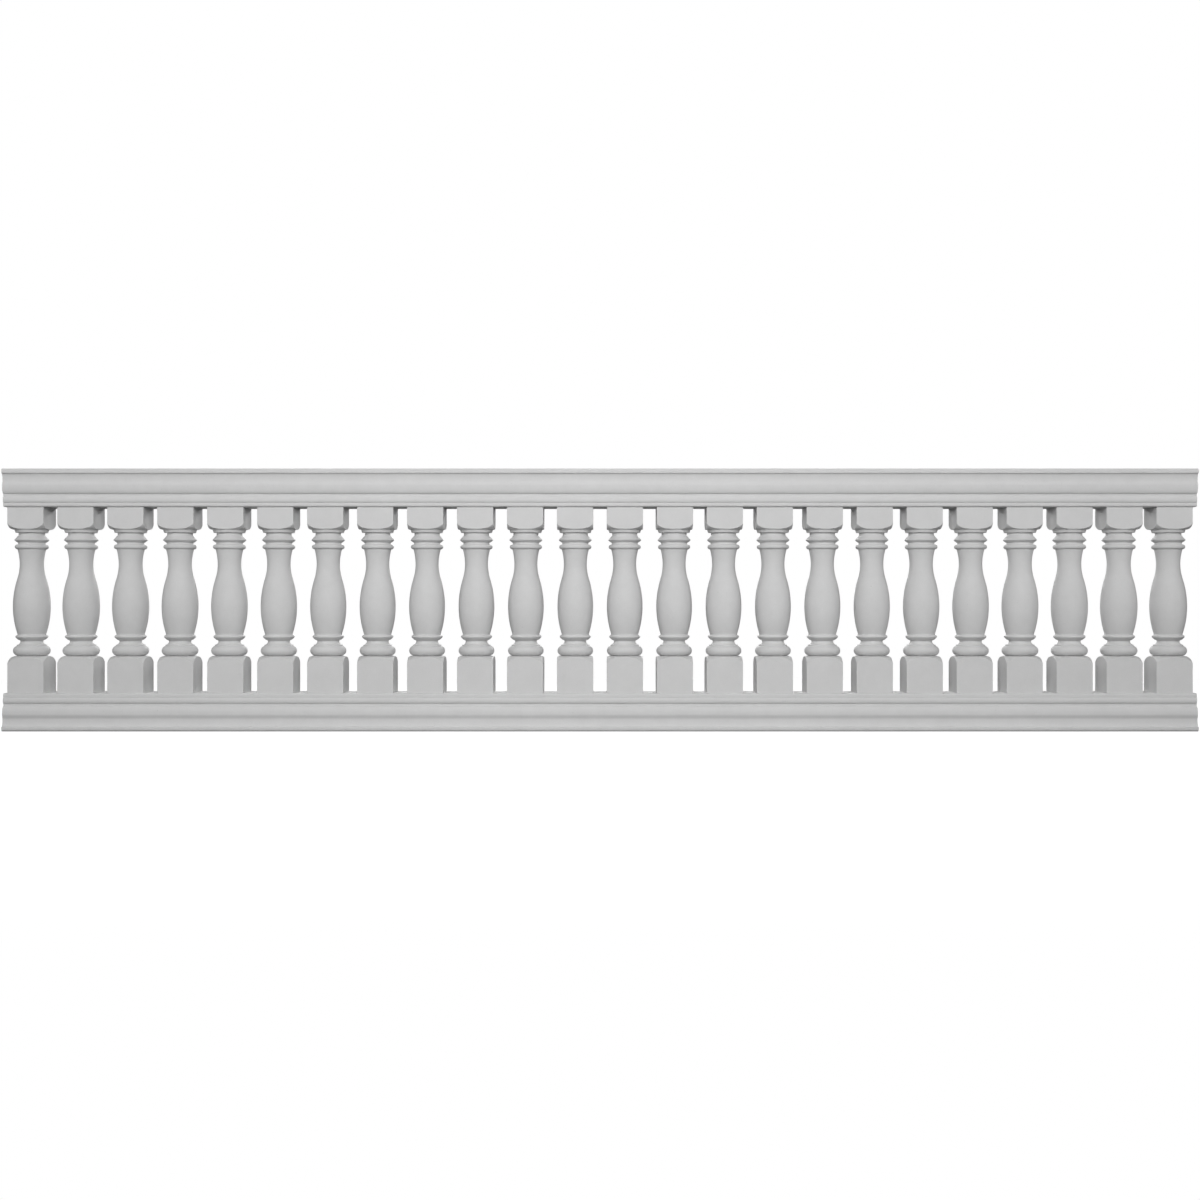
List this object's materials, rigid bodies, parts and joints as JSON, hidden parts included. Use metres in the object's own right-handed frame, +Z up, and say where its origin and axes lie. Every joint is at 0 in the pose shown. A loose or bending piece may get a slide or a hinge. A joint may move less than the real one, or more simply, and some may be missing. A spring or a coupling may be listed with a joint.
{
  "type": "stone balustrade, one straight bay",
  "caption": "Straight balustrade bay: a row of turned stone balusters with square blocks, seated between a moulded top rail and the same moulding turned over as bottom rail.",
  "frame": {"origin": "middle of the ground face of the bottom rail", "axes": "+X along the run to the picture's right, +Y to the back, +Z up"},
  "size_m": [3.6576, 0.156, 0.8039],
  "materials": {
    "cast_stone": "smooth matt cast stone, light grey",
    "core_steel": "dull galvanised tube"
  },
  "bodies": {
    "root": {"top_rail": "cast_stone", "bottom_rail": "cast_stone", "core_tubes": "core_steel", "baluster_01": "cast_stone", "baluster_02": "cast_stone", "baluster_03": "cast_stone", "baluster_04": "cast_stone", "baluster_05": "cast_stone", "baluster_06": "cast_stone", "baluster_07": "cast_stone", "baluster_08": "cast_stone", "baluster_09": "cast_stone", "baluster_10": "cast_stone", "baluster_11": "cast_stone", "baluster_12": "cast_stone", "baluster_13": "cast_stone", "baluster_14": "cast_stone", "baluster_15": "cast_stone", "baluster_16": "cast_stone", "baluster_17": "cast_stone", "baluster_18": "cast_stone", "baluster_19": "cast_stone", "baluster_20": "cast_stone", "baluster_21": "cast_stone", "baluster_22": "cast_stone", "baluster_23": "cast_stone", "baluster_24": "cast_stone"}
  },
  "joints": []
}
